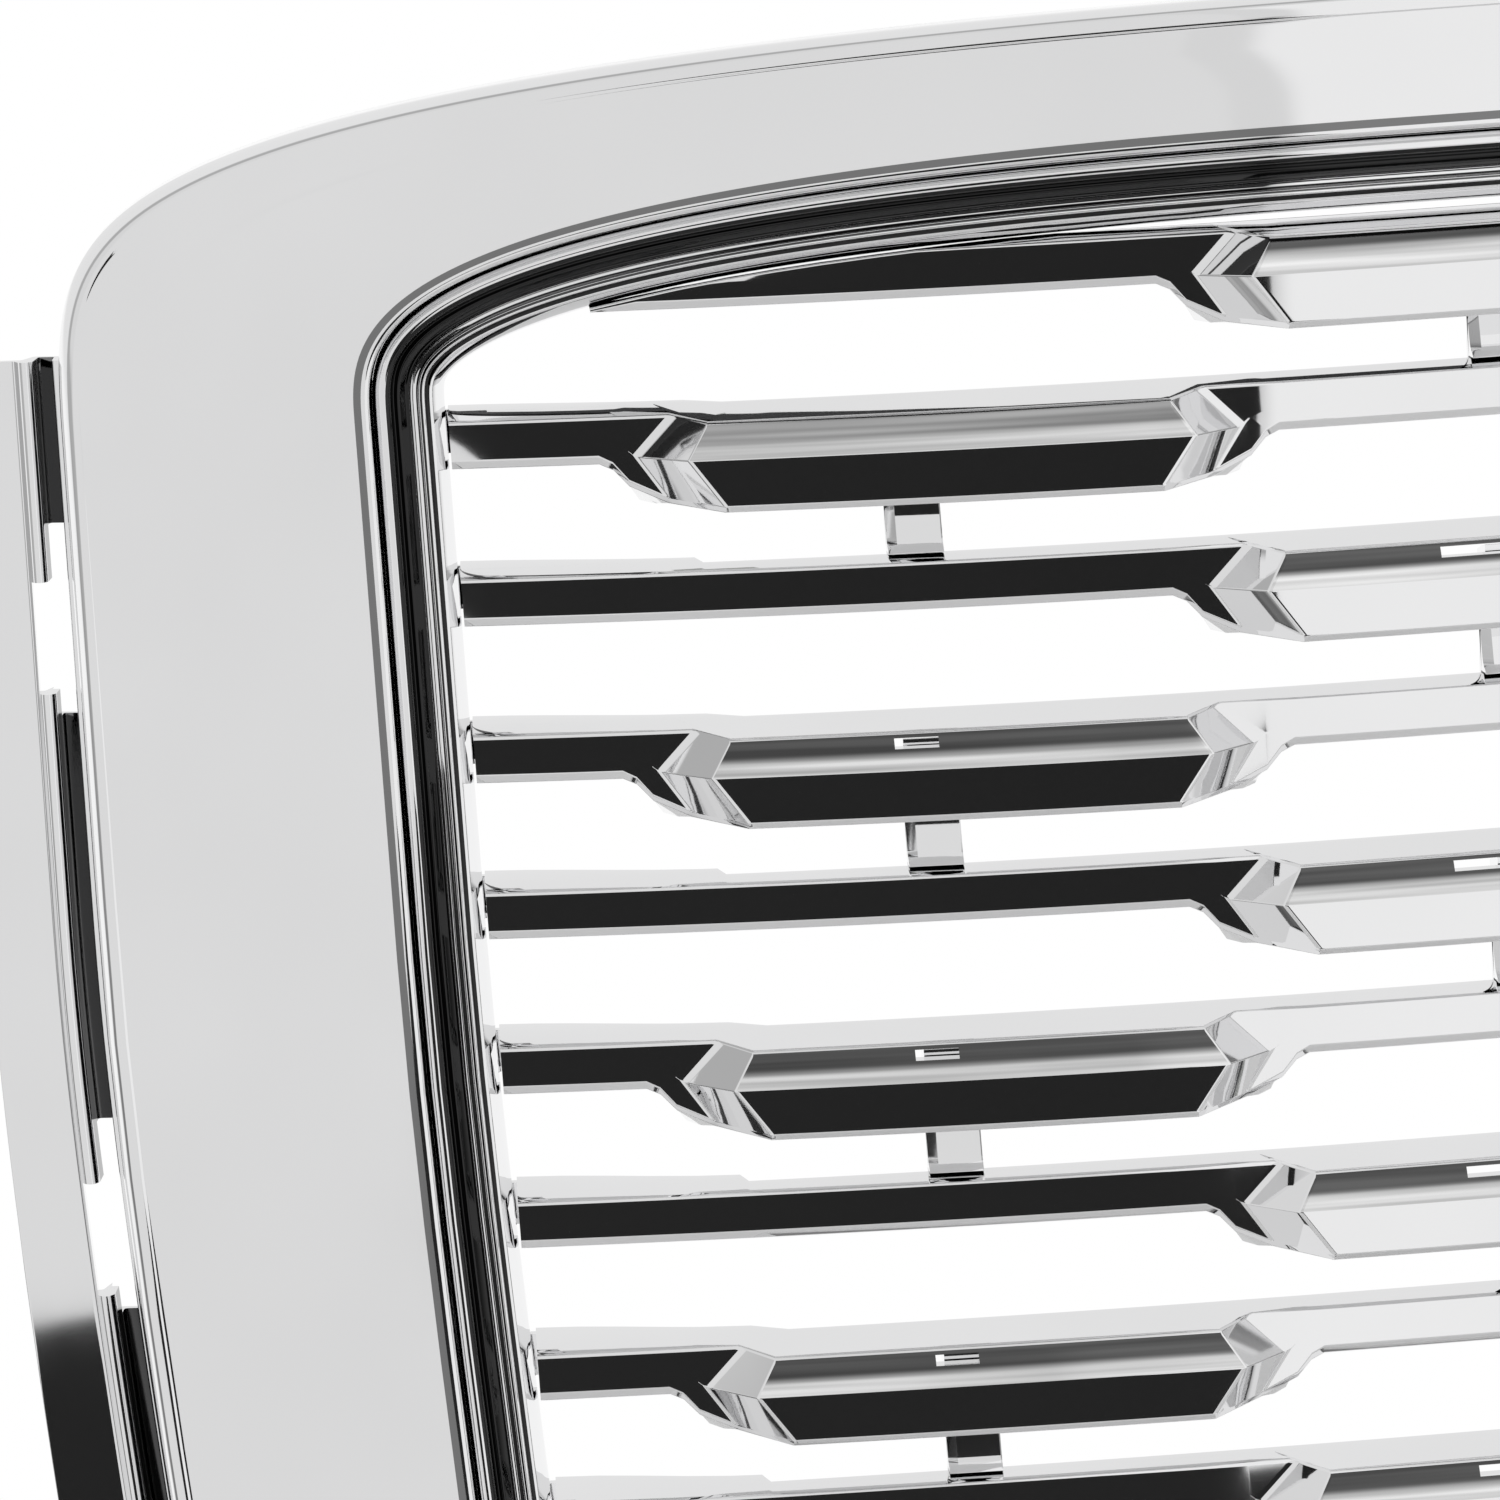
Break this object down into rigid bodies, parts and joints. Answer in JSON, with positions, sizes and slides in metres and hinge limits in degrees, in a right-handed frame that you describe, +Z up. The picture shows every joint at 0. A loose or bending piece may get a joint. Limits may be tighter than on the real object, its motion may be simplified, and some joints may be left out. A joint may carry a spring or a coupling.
{
  "type": "front grille",
  "caption": "Chromed front grille for a heavy truck: arched surround, stepped bezel, staggered horizontal bars with arrow-ended thick sections tied by short posts, slotted side rails.",
  "frame": {"origin": "on the centre plane, at the middle of the fifth bar's front ridge height, on the plane of the bars' front faces; it is the hood's datum for the grille", "axes": "+X to the grille's right as seen from the front, +Y back towards the radiator, +Z up"},
  "size_m": [1.148, 0.2121, 1.062],
  "materials": {
    "chrome": "mirror-bright chrome plating on moulded plastic",
    "dark_plastic": "moulded black, lightly grained",
    "zinc_steel": "zinc plated",
    "rubber": "matt black"
  },
  "bodies": {
    "root": {"surround": "chrome", "inner_bezel": "chrome", "rear_frame": "dark_plastic", "bar_01": "chrome", "bar_02": "chrome", "bar_03": "chrome", "bar_04": "chrome", "bar_05": "chrome", "bar_06": "chrome", "bar_07": "chrome", "bar_08": "chrome", "bar_09": "chrome", "bar_10": "chrome", "bar_11": "chrome", "bar_12": "chrome", "bar_13": "chrome", "bar_14": "chrome", "bar_15": "chrome", "post_01_centre": "chrome", "post_02_left": "chrome", "post_02_right": "chrome", "post_03_centre": "chrome", "post_04_left": "chrome", "post_04_right": "chrome", "post_05_centre": "chrome", "post_06_left": "chrome", "post_06_right": "chrome", "post_07_centre": "chrome", "post_08_left": "chrome", "post_08_right": "chrome", "post_09_centre": "chrome", "post_10_left": "chrome", "post_10_right": "chrome", "post_11_centre": "chrome", "post_12_left": "chrome", "post_12_right": "chrome", "post_13_centre": "chrome", "post_14_left": "chrome", "post_14_right": "chrome", "side_rail_left": "chrome", "side_rail_right": "chrome", "screw_left_1": "zinc_steel", "screw_left_2": "zinc_steel", "screw_left_3": "zinc_steel", "screw_left_4": "zinc_steel", "screw_right_1": "zinc_steel", "screw_right_2": "zinc_steel", "screw_right_3": "zinc_steel", "screw_right_4": "zinc_steel", "top_bracket_left": "zinc_steel", "top_bracket_left_screw": "zinc_steel", "pin_bracket_left": "zinc_steel", "pin_screw_left": "zinc_steel", "grommet_left": "rubber", "top_bracket_right": "zinc_steel", "top_bracket_right_screw": "zinc_steel", "pin_bracket_right": "zinc_steel", "pin_screw_right": "zinc_steel", "grommet_right": "rubber"}
  },
  "joints": []
}
